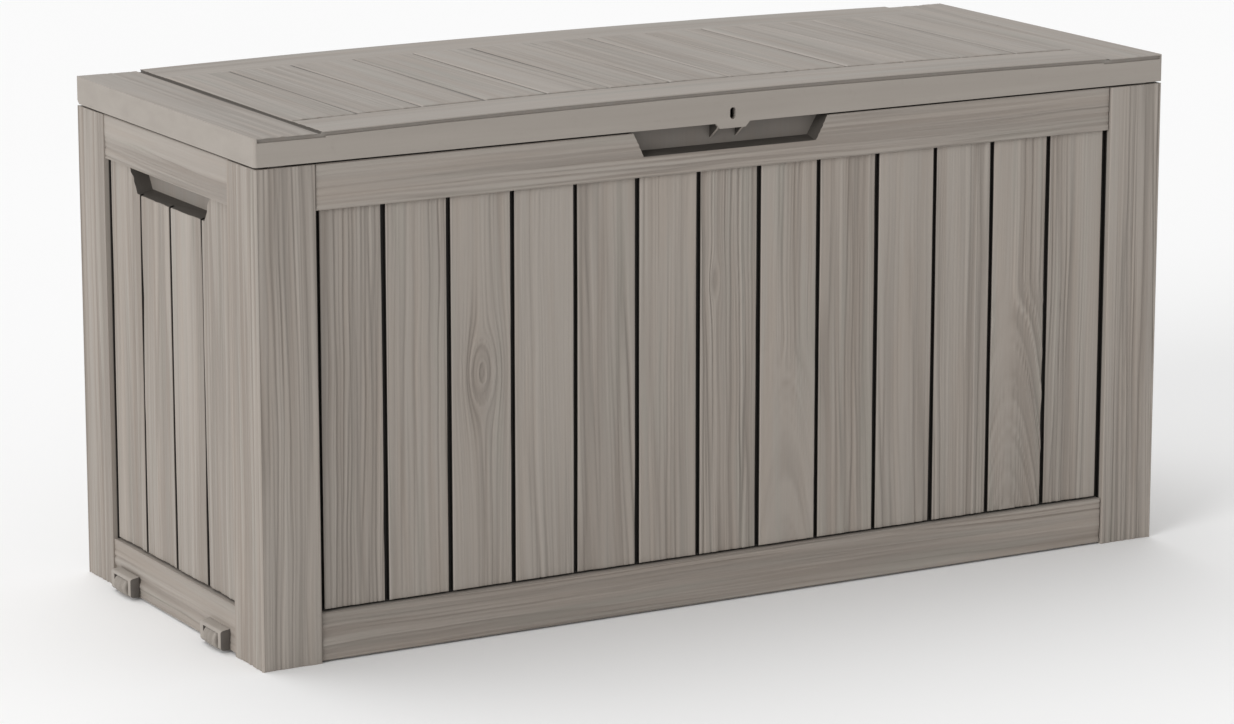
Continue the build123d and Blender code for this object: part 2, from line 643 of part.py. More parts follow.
# ---- floor ----------------------------------------------------------------------------------------
def floor_panel():
    with BuildPart() as floor:
        Box(2 * FLOOR_HALF_X, 2 * FLOOR_HALF_Y, FLOOR_UPSTAND, align=(MID, MID, LOW))
        inner_x = 2 * (FLOOR_HALF_X - FLOOR_RIB)
        inner_y = 2 * (FLOOR_HALF_Y - FLOOR_RIB)
        with Locations((0, 0, FLOOR_LEVEL)):
            Box(inner_x, inner_y, FLOOR_UPSTAND, align=(MID, MID, LOW), mode=Mode.SUBTRACT)
        Box(inner_x, inner_y, FLOOR_LEVEL - FLOOR_SKIN, align=(MID, MID, LOW), mode=Mode.SUBTRACT)
        rib_height = FLOOR_LEVEL - FLOOR_RIB_OVERLAP
        with Locations(*[(0, y, 0) for y in FLOOR_RIB_YS]):
            Box(inner_x + FLOOR_RIB_OVERLAP, FLOOR_RIB, rib_height, align=(MID, MID, LOW))
        with Locations(*[(x, 0, 0) for x in FLOOR_RIB_XS]):
            Box(FLOOR_RIB, inner_y + FLOOR_RIB_OVERLAP, rib_height, align=(MID, MID, LOW))
        Box(FLOOR_PAD, FLOOR_PAD, rib_height, align=(MID, MID, LOW))
        screw_holes(FLOOR_FRONT_SCREWS + FLOOR_BACK_SCREWS, (0, 1, 0))
        screw_holes(FLOOR_LEFT_SCREWS + FLOOR_RIGHT_SCREWS, (1, 0, 0))
    save(floor, "floor_panel")


# ---- hinges ---------------------------------------------------------------------------------------
def hinge_leaf(x, on_box, name):
    """Plate with every other knuckle of the barrel."""
    step = 2 * HINGE_HALF / KNUCKLES
    mine = [i for i in range(KNUCKLES) if (i % 2 == 0) == on_box]
    low, high = (HINGE_Z - LEAF_DROP, HINGE_Z) if on_box else (HINGE_Z, HINGE_Z + LEAF_RISE)
    with BuildPart() as leaf:
        with Locations((x, HINGE_Y - LEAF_THICK, low)):
            Box(2 * HINGE_HALF, LEAF_THICK, high - low, align=(MID, LOW, LOW))
        for i in range(KNUCKLES):
            middle = x - HINGE_HALF + (i + 0.5) * step
            axis = Plane(origin=(middle, HINGE_Y, HINGE_Z), z_dir=(1, 0, 0))
            if i not in mine:
                with BuildSketch(axis):
                    Circle(KNUCKLE_RADIUS + KNUCKLE_CLEARANCE / 2)
                extrude(amount=step / 2, both=True, mode=Mode.SUBTRACT)
        for i in mine:
            middle = x - HINGE_HALF + (i + 0.5) * step
            with BuildSketch(Plane(origin=(middle, HINGE_Y, HINGE_Z), z_dir=(1, 0, 0))):
                Circle(KNUCKLE_RADIUS)
            extrude(amount=(step - KNUCKLE_GAP) / 2, both=True)
        with BuildSketch(Plane(origin=(x, HINGE_Y, HINGE_Z), z_dir=(1, 0, 0))):
            Circle(PIN_RADIUS + RUNNING)
        extrude(amount=HINGE_HALF, both=True, mode=Mode.SUBTRACT)
        level = BOX_LEAF_Z if on_box else LID_LEAF_Z
        screw_holes([(x + s * LEAF_SCREW_PITCH, HINGE_Y, level) for s in (-1, 0, 1)], (0, -1, 0))
    save(leaf, name)


def hinge_pin(x, name):
    with BuildPart() as pin:
        with BuildSketch(Plane(origin=(x, HINGE_Y, HINGE_Z), z_dir=(1, 0, 0))):
            Circle(PIN_RADIUS)
        extrude(amount=HINGE_HALF, both=True)
        with BuildSketch(Plane(origin=(x - HINGE_HALF, HINGE_Y, HINGE_Z), z_dir=(-1, 0, 0))):
            Circle(PIN_HEAD_RADIUS)
        extrude(amount=PIN_HEAD_THICK)
    save(pin, name)


# ---- gas struts -----------------------------------------------------------------------------------
def strut_planes(side):
    """Planes at the strut's foot and head studs, both looking along the strut from foot to head."""
    foot = Vector(side * STRUT_X, *STRUT_FOOT)
    head = Vector(side * STRUT_X, *STRUT_HEAD)
    along = (head - foot).normalized()
    at_foot = Plane(origin=foot, x_dir=(1, 0, 0), z_dir=along)
    at_head = Plane(origin=head, x_dir=(1, 0, 0), z_dir=along * -1)
    return at_foot, at_head


def eye(stud):
    """Ring round a stud that lies across the strut."""
    with BuildSketch(Plane(origin=stud.origin, z_dir=(1, 0, 0))) as ring:
        Circle(EYE_RADIUS)
    extrude(ring.sketch, amount=EYE_HALF, both=True)


def eye_bore(stud):
    with BuildSketch(Plane(origin=stud.origin, z_dir=(1, 0, 0))) as bore:
        Circle(STUD_RADIUS + RUNNING)
    extrude(bore.sketch, amount=2 * EYE_HALF, both=True, mode=Mode.SUBTRACT)


def strut_tube(side, name):
    foot, _ = strut_planes(side)
    with BuildPart() as tube:
        with BuildSketch(foot.offset(TUBE_START)):
            Circle(TUBE_RADIUS)
        extrude(amount=TUBE_END - TUBE_START)
        chamfer(tube.edges().filter_by(GeomType.CIRCLE), TUBE_EDGE)
        inner = foot.offset(TUBE_START + TUBE_FOOT)
        with BuildSketch(inner):
            Circle(TUBE_BORE)
        extrude(amount=TUBE_END - TUBE_START - TUBE_FOOT - TUBE_CAP, mode=Mode.SUBTRACT)
        with BuildSketch(inner):
            Circle(ROD_BORE)
        extrude(amount=TUBE_END, mode=Mode.SUBTRACT)
        with BuildSketch(foot):
            Circle(NECK_RADIUS)
        extrude(amount=TUBE_START + NECK_OVERLAP)
        eye(foot)
        eye_bore(foot)
    save(tube, name)


def strut_rod(side, name):
    _, head = strut_planes(side)
    with BuildPart() as rod:
        with BuildSketch(head):
            Circle(ROD_RADIUS)
        extrude(amount=ROD_LENGTH)
        with BuildSketch(head.offset(ROD_LENGTH - PISTON_LENGTH)):
            Circle(PISTON_RADIUS)
        extrude(amount=PISTON_LENGTH)
        eye(head)
        eye_bore(head)
    save(rod, name)


def stud(start, side):
    """Stud along X from a bracket, with a flat head outside the strut's eye."""
    x, y, z = start
    near = STRUT_X + EYE_HALF + STUD_PLAY
    far = STRUT_X - EYE_HALF - STUD_PLAY
    wide = STUD_RADIUS + STUD_SHOULDER
    steps = ((x, near, wide), (x, far, STUD_RADIUS), (far, far - STUD_HEAD, wide))
    for begin, end, radius in steps:
        with BuildSketch(Plane(origin=(side * begin, y, z), z_dir=(-side, 0, 0))) as section:
            Circle(radius)
        extrude(section.sketch, amount=begin - end)


def foot_bracket(side, name):
    wall_x = HALF_LENGTH - POST_DEPTH
    with BuildPart() as bracket:
        with Locations((side * (wall_x - BRACKET_PLATE / 2), *STRUT_FOOT)):
            plate = Box(BRACKET_PLATE, *FOOT_PLATE)
        fillet(plate.edges().filter_by(Axis.X), FOOT_PLATE_ROUND)
        stud((wall_x - BRACKET_PLATE, *STRUT_FOOT), side)
        screw_holes([(side * x, y, z) for x, y, z in FOOT_SCREWS], (1, 0, 0))
    save(bracket, name)


def head_bracket(side, name):
    """Angle under the lid: a flange against its skin, and a cheek that carries the stud."""
    cheek_x = HALF_LENGTH - RAIL_INNER - HEAD_CHEEK_GAP
    y, z = STRUT_HEAD
    inward = Align.MAX if side > 0 else LOW
    with BuildPart() as bracket:
        with Locations((side * cheek_x, y, z - HEAD_CHEEK_DROP)):
            Box(BRACKET_PLATE, HEAD_CHEEK_WIDTH, LID_UNDER - z + HEAD_CHEEK_DROP, align=(inward, MID, LOW))
        with Locations((side * cheek_x, y, LID_UNDER)):
            Box(*HEAD_FLANGE, BRACKET_PLATE, align=(inward, MID, Align.MAX))
        stud((cheek_x - BRACKET_PLATE, y, z), side)
        screw_holes([(side * x, yy, zz) for x, yy, zz in HEAD_SCREWS], (0, 0, 1))
    save(bracket, name)


# ---- tilt wheels ----------------------------------------------------------------------------------
def wheel_axis(y):
    return Plane(origin=(WHEEL_X, y, WHEEL_LEVEL), z_dir=(0, 1, 0))


def wheel_housing(y, name):
    """Two D cheeks under a sloping roof, on the face of the lower rail, with a lug behind each cheek."""
    face = -HALF_LENGTH + RAIL_SETBACK
    front = HOUSING_OUT
    with BuildPart() as housing:
        with BuildSketch(Plane(origin=(face, y, 0), x_dir=(-1, 0, 0), z_dir=(0, 1, 0))) as section:
            with BuildLine():
                Polyline(
                    (0, HOUSING_BASE), (0, HOUSING_TOP), (front, HOUSING_TOP - HOUSING_SLOPE),
                    (front, HOUSING_BASE), close=True,
                )
            make_face()
            fillet(section.vertices().group_by(Axis.X)[-1].sort_by(Axis.Y)[0], CHEEK_ROUND)
            fillet(section.vertices().group_by(Axis.X)[-1].sort_by(Axis.Y)[-1], HOUSING_ROUND)
        extrude(amount=HOUSING_HALF, both=True)
        with Locations((face, y, 0)):
            Box(4 * HOUSING_OUT, 2 * (HOUSING_HALF - CHEEK), 2 * WHEEL_LEVEL, mode=Mode.SUBTRACT)
        with BuildSketch(wheel_axis(y)):
            Circle(WHEEL_RADIUS + WHEEL_ROOM)
        extrude(amount=HOUSING_HALF - CHEEK, both=True, mode=Mode.SUBTRACT)
        with Locations(*[(face, y + side * (HOUSING_HALF - CHEEK / 2), WHEEL_LEVEL) for side in (-1, 1)]):
            Box(LUG_REACH, LUG_WIDTH, HOUSING_LUG, align=(LOW, MID, MID))
        with BuildSketch(wheel_axis(y)):
            Circle(AXLE_RADIUS)
        extrude(amount=AXLE_HALF, both=True, mode=Mode.SUBTRACT)
    save(housing, name)


def wheel_axle(y, name):
    with BuildPart() as axle:
        with BuildSketch(wheel_axis(y)):
            Circle(AXLE_RADIUS)
        extrude(amount=AXLE_HALF, both=True)
    save(axle, name)


def wheel(y, name):
    """Barrel roller with fine grooves round its tread."""
    with BuildPart() as roller:
        with BuildSketch(wheel_axis(y)):
            Circle(WHEEL_RADIUS)
        extrude(amount=WHEEL_HALF, both=True)
        fillet(roller.edges().filter_by(GeomType.CIRCLE), WHEEL_ROUND)
        for i in range(TREAD_GROOVES):
            offset = (i - (TREAD_GROOVES - 1) / 2) * TREAD_PITCH
            with BuildSketch(wheel_axis(y + offset)):
                Circle(WHEEL_RADIUS + 1)
                Circle(WHEEL_RADIUS - TREAD_DEPTH, mode=Mode.SUBTRACT)
            extrude(amount=TREAD_WIDTH / 2, both=True, mode=Mode.SUBTRACT)
        with BuildSketch(wheel_axis(y)):
            Circle(AXLE_RADIUS + RUNNING)
        extrude(amount=WHEEL_HALF, both=True, mode=Mode.SUBTRACT)
    save(roller, name)


# ---- make everything ------------------------------------------------------------------------------
floor_panel()
long_panel(FRONT, "front_panel", FRONT_PANEL_SCREWS, (0, 1, 0))
long_panel(BACK, "back_panel", BACK_PANEL_SCREWS, (0, -1, 0))
end_panel(LEFT, "end_panel_left", (-1, 0, 0))
end_panel(RIGHT, "end_panel_right", (1, 0, 0))
lid_shell()
for place, hinge_x in zip(("left", "middle", "right"), HINGE_PLACES):
    hinge_leaf(hinge_x, True, f"hinge_box_leaf_{place}")
    hinge_leaf(hinge_x, False, f"hinge_lid_leaf_{place}")
    hinge_pin(hinge_x, f"hinge_pin_{place}")
for place, way in (("left", -1), ("right", 1)):
    strut_tube(way, f"strut_tube_{place}")
    strut_rod(way, f"strut_rod_{place}")
    foot_bracket(way, f"strut_foot_bracket_{place}")
    head_bracket(way, f"strut_head_bracket_{place}")
for place, wheel_y in zip(("front", "rear"), WHEEL_PLACES):
    wheel_housing(wheel_y, f"wheel_housing_{place}")
    wheel_axle(wheel_y, f"wheel_axle_{place}")
    wheel(wheel_y, f"wheel_{place}")
screws("panel_screws", [(FRONT_PANEL_SCREWS, (0, -1, 0)), (BACK_PANEL_SCREWS, (0, 1, 0))])
screws(
    "floor_screws",
    [
        (FLOOR_FRONT_SCREWS, (0, -1, 0)), (FLOOR_BACK_SCREWS, (0, 1, 0)),
        (FLOOR_LEFT_SCREWS, (-1, 0, 0)), (FLOOR_RIGHT_SCREWS, (1, 0, 0)),
    ],
)
screws("hinge_box_screws", [(BOX_LEAF_SCREWS, (0, -1, 0))])
screws("hinge_lid_screws", [(LID_LEAF_SCREWS, (0, -1, 0))])
screws(
    "strut_foot_screws",
    [(FOOT_SCREWS, (1, 0, 0)), ([(-x, y, z) for x, y, z in FOOT_SCREWS], (-1, 0, 0))],
)
screws("strut_head_screws", [(mirrored(HEAD_SCREWS), (0, 0, 1))], length=HEAD_SCREW_LENGTH)
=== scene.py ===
"""Looks of the deck storage box: boards with an embossed grain, fittings, wheels, floor, light and camera."""

import json
import math

import bmesh
import bpy
from mathutils import Euler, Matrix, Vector, noise


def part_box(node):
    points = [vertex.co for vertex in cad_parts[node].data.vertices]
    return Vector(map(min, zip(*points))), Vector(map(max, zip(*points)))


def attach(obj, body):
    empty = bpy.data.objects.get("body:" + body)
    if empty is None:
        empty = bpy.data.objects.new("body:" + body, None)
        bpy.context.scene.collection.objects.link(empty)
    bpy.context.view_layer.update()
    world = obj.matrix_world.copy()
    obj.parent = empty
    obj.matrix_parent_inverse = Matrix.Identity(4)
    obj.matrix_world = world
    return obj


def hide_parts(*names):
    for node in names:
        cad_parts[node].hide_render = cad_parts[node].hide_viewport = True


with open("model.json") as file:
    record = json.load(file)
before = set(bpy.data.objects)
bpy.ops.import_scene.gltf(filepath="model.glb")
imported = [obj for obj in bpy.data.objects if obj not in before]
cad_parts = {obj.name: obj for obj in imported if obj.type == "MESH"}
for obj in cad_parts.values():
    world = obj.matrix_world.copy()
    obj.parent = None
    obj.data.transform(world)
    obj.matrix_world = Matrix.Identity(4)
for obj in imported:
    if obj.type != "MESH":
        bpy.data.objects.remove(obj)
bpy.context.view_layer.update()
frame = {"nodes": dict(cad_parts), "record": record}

MM = 0.001
LEFT, RIGHT = Vector((-1, 0, 0)), Vector((1, 0, 0))
FRONT, BACK, UP = Vector((0, -1, 0)), Vector((0, 1, 0)), Vector((0, 0, 1))

# embossed grain
GRAIN_DEPTH = 2.2 * MM
LID_GRAIN_DEPTH = 1.1 * MM
GRAIN_STEP = 0.95 * MM
LID_GRAIN_STEP = 1.4 * MM
LENGTH_STEP = 9.0 * MM
KNOT_STEP = 3.5 * MM
KNOT_REACH = 75.0 * MM
EDGE_ROUND = 1.3 * MM
EDGE_DROP = 0.7 * MM
LID_EDGE_ROUND = 1.8 * MM
LID_EDGE_DROP = 1.3 * MM
BORDER_DEPTH = 0.5 * MM
RIM_ROUND = 1.2 * MM
RIM_DROP = 0.3 * MM
RAGGED = 0.9 * MM
BOARD_AREA = 0.004
OUTWARD = 0.995
WALL_REACH = 9.0 * MM
SHARP_ANGLE = math.radians(32)
MERGE = 2e-6
FLAT_ANGLE = math.radians(0.4)

# width in mm of a valley, a crease and a broad wave of ordinary grain, and the share of it that is sunk
VALLEY_PITCH = 8.5
CREASE_PITCH = 4.0
WAVE_PITCH = 11.0
VALLEY_SHARE = 0.27
CREASE_SHARE = 0.30

# depths behind the posts' outer faces where painted shade darkens the gaps between boards
GAP_TOP = 7.1 * MM
GAP_FULL = 8.4 * MM
GAP_STARTS = 9.9 * MM
SHEET_BACK = 14.0 * MM
DEPTH_UNIT = 30.0 * MM

# crown of the lid
LID_HALF = 536.0 * MM
LID_CROWN = 5.0 * MM


# ---- grain as a height over a board ------------------------------------------------------------------
class Board:
    """One board's own grain: where its knots and arches are, how coarse, how strong and how tilted it is."""

    def __init__(
        self, seed, relief=1.0, coarse=None, lean=None, knots=(), arches=None, ways=None, step=GRAIN_STEP,
    ):
        self.seed = seed
        self.relief = relief
        self.coarse = coarse or 1.0 + 0.5 * noise.noise(Vector((seed * 1.9, 4.2, 8.8)))
        self.lean = 0.012 * noise.noise(Vector((seed * 5.1, 2.2, 1.4))) if lean is None else lean
        self.knots = knots
        self.arches = arches
        self.ways = ways
        self.step = step
        self.tone = 0.5 + 0.5 * noise.noise(Vector((seed * 3.7, 1.3, 0.2)))
        self.tint = 0.5 + 0.5 * noise.noise(Vector((seed * 2.9, 7.1, 4.4)))

    def height(self, u, v):
        """Height from 0, lowest, to 1, highest, at u across and v along the board."""
        seed = self.seed
        sway = noise.noise(Vector((u * 9.0, v * 2.4, seed + 3.1))) * 7.0 * MM + self.lean * v
        sway += noise.noise(Vector((u * 40.0, v * 11.0, seed + 9.7))) * 1.3 * MM
        w = u + sway
        for knot in self.knots:
            w = around_knot(w, u, v, knot)
        if self.arches:
            w = arched(w, u, v, self.arches)
        strong = 0.55 + 1.2 * noise.noise(Vector((u / (38 * MM), v / 0.8, seed + 17.0)))
        strong = min(1.0, max(0.0, strong + 0.25 * (self.relief - 1.0))) * self.relief
        near_knot = max((knot_pull(u, v, knot) for knot in self.knots), default=0.0)
        strong = max(strong, near_knot)
        size = self.coarse * MM
        line = noise.noise(Vector((w / (VALLEY_PITCH * size), v / 0.5, seed)))
        thin = noise.noise(Vector((w / (CREASE_PITCH * size), v / 0.4, seed + 5.0)))
        broad = noise.noise(Vector((w / (WAVE_PITCH * size), v / 0.7, seed + 11.0)))
        valley = max(0.0, 1.0 - abs(line) / VALLEY_SHARE)
        crease = max(0.0, 1.0 - abs(thin) / CREASE_SHARE)
        wave = 0.5 - 0.9 * broad
        low = 0.70 * strong * valley + 0.26 * (0.30 + strong) * crease + 0.50 * (0.25 + strong) * wave
        return min(1.0, max(0.0, 1.0 - low))


def knot_pull(u, v, knot):
    across, along, radius, stretch = knot
    away = math.hypot(u - across, (v - along) / stretch)
    return math.exp(-((away / (1.7 * radius)) ** 2))


def around_knot(w, u, v, knot):
    """Grain lines part round a knot, close up behind it and ring it inside."""
    across, along, radius, stretch = knot
    du = u - across
    dv = (v - along) / stretch
    away = math.hypot(du, dv)
    if away < radius:
        return across + (radius - away) * 1.15 + (w - u) * (away / radius)
    bend = 1.0 - (radius / away) ** 2
    fade = math.exp(-((away / (3.6 * radius)) ** 2))
    return w * (1 - fade) + (across + du * bend + (w - u)) * fade


def arched(w, u, v, arches):
    """Nested arches over part of a board, as where it is sawn through the growth rings."""
    middle, top, slope, spread = arches
    du = u - middle
    share = min(1.0, max(0.0, (top - v) / 0.06))
    share = share * share * (3 - 2 * share)
    return w + share * (slope * (v - top) + du * du / spread - 0.6 * du)


# ---- mesh tools --------------------------------------------------------------------------------------
def mesh_copy(node):
    """The CAD node's mesh as a welded bmesh with flat areas joined."""
    bm = bmesh.new()
    bm.from_mesh(frame["nodes"][node].data)
    bmesh.ops.remove_doubles(bm, verts=bm.verts, dist=MERGE)
    bmesh.ops.dissolve_limit(bm, angle_limit=FLAT_ANGLE, verts=bm.verts, edges=bm.edges)
    bmesh.ops.recalc_face_normals(bm, faces=bm.faces)
    for face in bm.faces:
        face.smooth = False
    return bm


def piece(name, bm, body, materials, node):
    """Makes a bmesh the piece that replaces a node; embossed faces meet smoothly, others by their angle."""
    for edge in bm.edges:
        inside = all(face.smooth for face in edge.link_faces)
        edge.smooth = inside or edge.calc_face_angle(math.pi) < SHARP_ANGLE
    for face in bm.faces:
        face.smooth = True
    mesh = bpy.data.meshes.new(name)
    bm.to_mesh(mesh)
    bm.free()
    for material in materials:
        mesh.materials.append(material)
    made = bpy.data.objects.new(name, mesh)
    bpy.context.scene.collection.objects.link(made)
    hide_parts(node)
    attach(made, body)
    return made


def islands(faces):
    """Groups of faces joined by their edges."""
    left = set(faces)
    groups = []
    while left:
        group = [left.pop()]
        for face in group:
            for edge in face.edges:
                for other in edge.link_faces:
                    if other in left:
                        left.remove(other)
                        group.append(other)
        groups.append(group)
    return groups


def extent(faces, way):
    """Least and greatest place of some faces along a direction."""
    values = [v.co.dot(way) for f in faces for v in f.verts]
    return min(values), max(values)


def stops(low, high, step):
    """Even cuts between low and high, about step apart."""
    count = max(1, round((high - low) / step))
    return [low + (high - low) * i / count for i in range(1, count)]


def thinned(cuts, kept, gap):
    """The cuts in order, without those closer than gap to one that is kept."""
    return sorted(kept + [c for c in cuts if all(abs(c - k) > gap for k in kept)])


def strips(patch, way, cuts):
    """Cuts all of a patch by planes across a direction, in order; finished strips aren't looked at again."""
    ahead = patch.faces[:]
    for cut in cuts:
        geom = set(ahead)
        for face in ahead:
            geom.update(face.edges)
            geom.update(face.verts)
        out = bmesh.ops.bisect_plane(patch, geom=list(geom), dist=1e-6, plane_co=way * cut, plane_no=way)
        ahead = [
            f for f in out["geom"]
            if isinstance(f, bmesh.types.BMFace) and f.calc_center_median().dot(way) > cut
        ]


def rim_edges(faces):
    """Edges round the outside of a group of faces."""
    group = set(faces)
    return [e for e in {e for f in faces for e in f.edges} if len(group.intersection(e.link_faces)) == 1]


def free_rims(faces, rims, way, across, along):
    """Straight open edges of a board that run along it and across it, as (place, from, to)."""
    group = set(faces)
    sides, ends = [], []
    for edge in rims:
        a, b = (v.co for v in edge.verts)
        other = next((f for f in edge.link_faces if f not in group), None)
        if other is None or other.normal.dot(way) > 0.7:
            continue
        if (other.calc_center_median() - a).dot(way) > 0:
            continue
        run = (b - a).normalized()
        for line, place, far in ((sides, across, along), (ends, along, across)):
            if abs(run.dot(far)) > 0.98:
                span = sorted((a.dot(far), b.dot(far)))
                line.append((a.dot(place), span[0], span[1]))
    return sides, ends


def cut_board(bm, faces, rims, across, along, u_cuts, v_cuts):
    """Swaps a flat group of faces for the same area in fine strips, still welded to its neighbours."""
    patch = bmesh.new()
    rim_number = patch.edges.layers.int.new("rim")
    copies = {v: patch.verts.new(v.co) for v in {v for f in faces for v in f.verts}}
    for face in faces:
        patch.faces.new([copies[v] for v in face.verts])
    for number, edge in enumerate(rims):
        patch.edges.get([copies[v] for v in edge.verts])[rim_number] = number + 1
    strips(patch, along, v_cuts)
    strips(patch, across, u_cuts)
    joined = {copy: vert for vert, copy in copies.items()}
    on_rim = {}
    for edge in patch.edges:
        if edge[rim_number]:
            on_rim.setdefault(edge[rim_number] - 1, set()).update(edge.verts)
    for number, verts in on_rim.items():
        edge = rims[number]
        start, end = edge.verts
        inner = sorted((v for v in verts if v not in joined), key=lambda v: (v.co - start.co).length)
        for vert in inner:
            share = (vert.co - start.co).length / (end.co - start.co).length
            made_edge, made = bmesh.utils.edge_split(edge, start, share)
            made.co = vert.co
            joined[vert] = start = made
            edge = edge if end in edge.verts else made_edge
    bmesh.ops.delete(bm, geom=faces, context="FACES")
    for vert in patch.verts:
        if vert not in joined:
            joined[vert] = bm.verts.new(vert.co)
    made_faces = [bm.faces.new([joined[v] for v in face.verts]) for face in patch.faces]
    made_verts = [joined[v] for v in patch.verts]
    patch.free()
    return made_faces, made_verts


def emboss(bm, faces, way, board, depth, layers, level=None, ragged=0.0, ease=(EDGE_ROUND, EDGE_DROP)):
    """Cuts a board into fine strips, presses its grain in from its face and rounds its open edges."""
    across, along = board.ways or grain_ways(faces, way)
    low_u, high_u = extent(faces, across)
    low_v, high_v = extent(faces, along)
    mid_u, mid_v = (low_u + high_u) / 2, (low_v + high_v) / 2
    rims = rim_edges(faces)
    sides, ends = free_rims(faces, rims, way, across, along)
    near = [s * d * ease[0] for s in (-1, 1) for d in (0.4, 1.0)]
    near_sides = sorted({round(place + e, 6) for place, _, _ in sides for e in near})
    near_ends = sorted({round(place + e, 6) for place, _, _ in ends for e in near})
    v_even = stops(low_v, high_v, LENGTH_STEP)
    for _, along_knot, _, _ in board.knots:
        at = mid_v + along_knot
        v_even += stops(max(low_v, at - KNOT_REACH), min(high_v, at + KNOT_REACH), KNOT_STEP)
    u_cuts = thinned(stops(low_u, high_u, board.step), near_sides, board.step * 0.35)
    v_cuts = thinned(v_even, near_ends, LENGTH_STEP * 0.08)
    made_faces, made_verts = cut_board(bm, faces, rims, across, along, u_cuts, v_cuts)
    grain_uv, relief, board_id = layers
    for vert in made_verts:
        at_u, at_v = vert.co.dot(across), vert.co.dot(along)
        height = board.height(at_u - mid_u, at_v - mid_v)
        drop = max(rounding(at_u, at_v, sides, ease), rounding(at_v, at_u, ends, ease))
        if level:
            vert.co.z = level(vert.co.x)
        if ragged and min(at_v - low_v, high_v - at_v) < MERGE:
            push = ragged * (0.5 + 0.9 * noise.noise(Vector((at_u / (7 * MM), board.seed, 0.0))))
            vert.co += along * (push if at_v < mid_v else -push)
        vert.co -= way * (depth * (1.0 - height) + drop)
        vert[relief] = height
    for face in made_faces:
        face.smooth = True
        face.material_index = 0
        for loop in face.loops:
            co = loop.vert.co
            loop[grain_uv].uv = (
                co.dot(across) - mid_u + board.seed * 0.37,
                co.dot(along) - mid_v + board.seed * 0.83,
            )
            loop[board_id] = (board.tone, board.tint, 0.0, 0.0)


def rounding(at, beside, rims, ease):
    """How far an open edge falls away at a place near it."""
    width, fall = ease
    drop = 0.0
    for place, start, end in rims:
        away = abs(at - place)
        if away < width and start - MM <= beside <= end + MM:
            drop = max(drop, fall * (1.0 - away / width) ** 2)
    return drop


def grain_ways(faces, way):
    """Directions across and along a board: the grain runs along its longer side."""
    sides = [axis for axis in (RIGHT, BACK, UP) if abs(axis.dot(way)) < 0.5]
    spans = [extent(faces, axis)[1] - extent(faces, axis)[0] for axis in sides]
    return (sides[0], sides[1]) if spans[1] >= spans[0] else (sides[1], sides[0])


def start_layers(bm):
    """Layers for the grain's own map, its height and each board's tone, with plain values to start from."""
    grain_uv = bm.loops.layers.uv.new("grain")
    relief = bm.verts.layers.float.new("relief")
    board_id = bm.loops.layers.float_color.new("board")
    for vert in bm.verts:
        vert[relief] = 0.85
    for face in bm.faces:
        n = face.normal
        for loop in face.loops:
            co = loop.vert.co
            if abs(n.z) > 0.7:
                loop[grain_uv].uv = (co.y, co.x)
            else:
                loop[grain_uv].uv = (co.x if abs(n.y) > abs(n.x) else co.y, co.z)
            loop[board_id] = (0.5, 0.5, 0.0, 0.0)
    return grain_uv, relief, board_id


# ---- shader tools ------------------------------------------------------------------------------------
class Value:
    """A socket that can be used in arithmetic; each operation adds a Math node."""

    def __init__(self, shader, socket):
        self.shader = shader
        self.socket = socket

    def math(self, operation, first, second):
        return self.shader.add("ShaderNodeMath", {"operation": operation}, {0: first, 1: second})

    def __add__(self, other):
        return self.math("ADD", self, other)

    def __sub__(self, other):
        return self.math("SUBTRACT", self, other)

    def __rsub__(self, other):
        return self.math("SUBTRACT", other, self)

    def __mul__(self, other):
        return self.math("MULTIPLY", self, other)

    __radd__ = __add__
    __rmul__ = __mul__


class Shader:
    """One material; add() makes any node from its type, its settings and then its inputs."""

    def __init__(self, name):
        self.material = bpy.data.materials.new(name)
        self.material.use_nodes = True
        self.tree = self.material.node_tree
        self.tree.nodes.clear()

    def add(self, kind, settings=None, inputs=None, output=0):
        made = self.tree.nodes.new(kind)
        for key, value in (settings or {}).items():
            setattr(made, key, value)
        for key, value in (inputs or {}).items():
            if isinstance(value, Value):
                self.tree.links.new(value.socket, made.inputs[key])
            else:
                made.inputs[key].default_value = value
        return Value(self, made.outputs[output]) if len(made.outputs) else None

    def mix(self, factor, first, second, blend="MIX"):
        settings = {"data_type": "RGBA", "blend_type": blend, "clamp_factor": True}
        return self.add("ShaderNodeMix", settings, {0: factor, 6: first, 7: second}, output=2)

    def ramp(self, value, low, high):
        """0 at low, 1 at high, and straight between them."""
        inputs = {"Value": value, "From Min": low, "From Max": high}
        return self.add("ShaderNodeMapRange", {"clamp": True}, inputs)

    def noise(self, place, scale, detail=3.0, roughness=0.5, distortion=0.0):
        inputs = {"Vector": place, "Scale": scale, "Detail": detail, "Roughness": roughness}
        return self.add("ShaderNodeTexNoise", {}, {**inputs, "Distortion": distortion})

    def stretched(self, place, scale):
        return self.add("ShaderNodeMapping", {}, {"Vector": place, "Scale": scale})

    def bump(self, height, distance, strength=1.0):
        return self.add("ShaderNodeBump", {}, {"Height": height, "Distance": distance, "Strength": strength})

    def object_place(self):
        return self.add("ShaderNodeTexCoord", {}, {}, output=3)

    def finish(self, color, roughness, normal, metallic=0.0, **fixed):
        inputs = {"Base Color": color, "Roughness": roughness, "Normal": normal, "Metallic": metallic}
        surface = self.add("ShaderNodeBsdfPrincipled", {}, {**inputs, **fixed})
        self.add("ShaderNodeOutputMaterial", {}, {"Surface": surface})
        return self.material


def rgb(r, g, b):
    return (r, g, b, 1.0)


# ---- materials ---------------------------------------------------------------------------------------
# painted shade at the bottom of the gaps between boards
GAP_PAINTED_SHADE = rgb(0.016, 0.014, 0.012)
# painted shade in recesses, in the step under the lid's front lip and in the lid's seams
PAINTED_SHADE_DARK = rgb(0.050, 0.044, 0.038)
# darkens the grain's hairlines and the resin's scuffs, and is the painted shade in the low lines of the
# relief
PORE_AND_CREASE_SHADE = rgb(0.60, 0.58, 0.565)
WARM = rgb(1.0, 0.960, 0.93)
COOL = rgb(0.945, 0.985, 0.965)


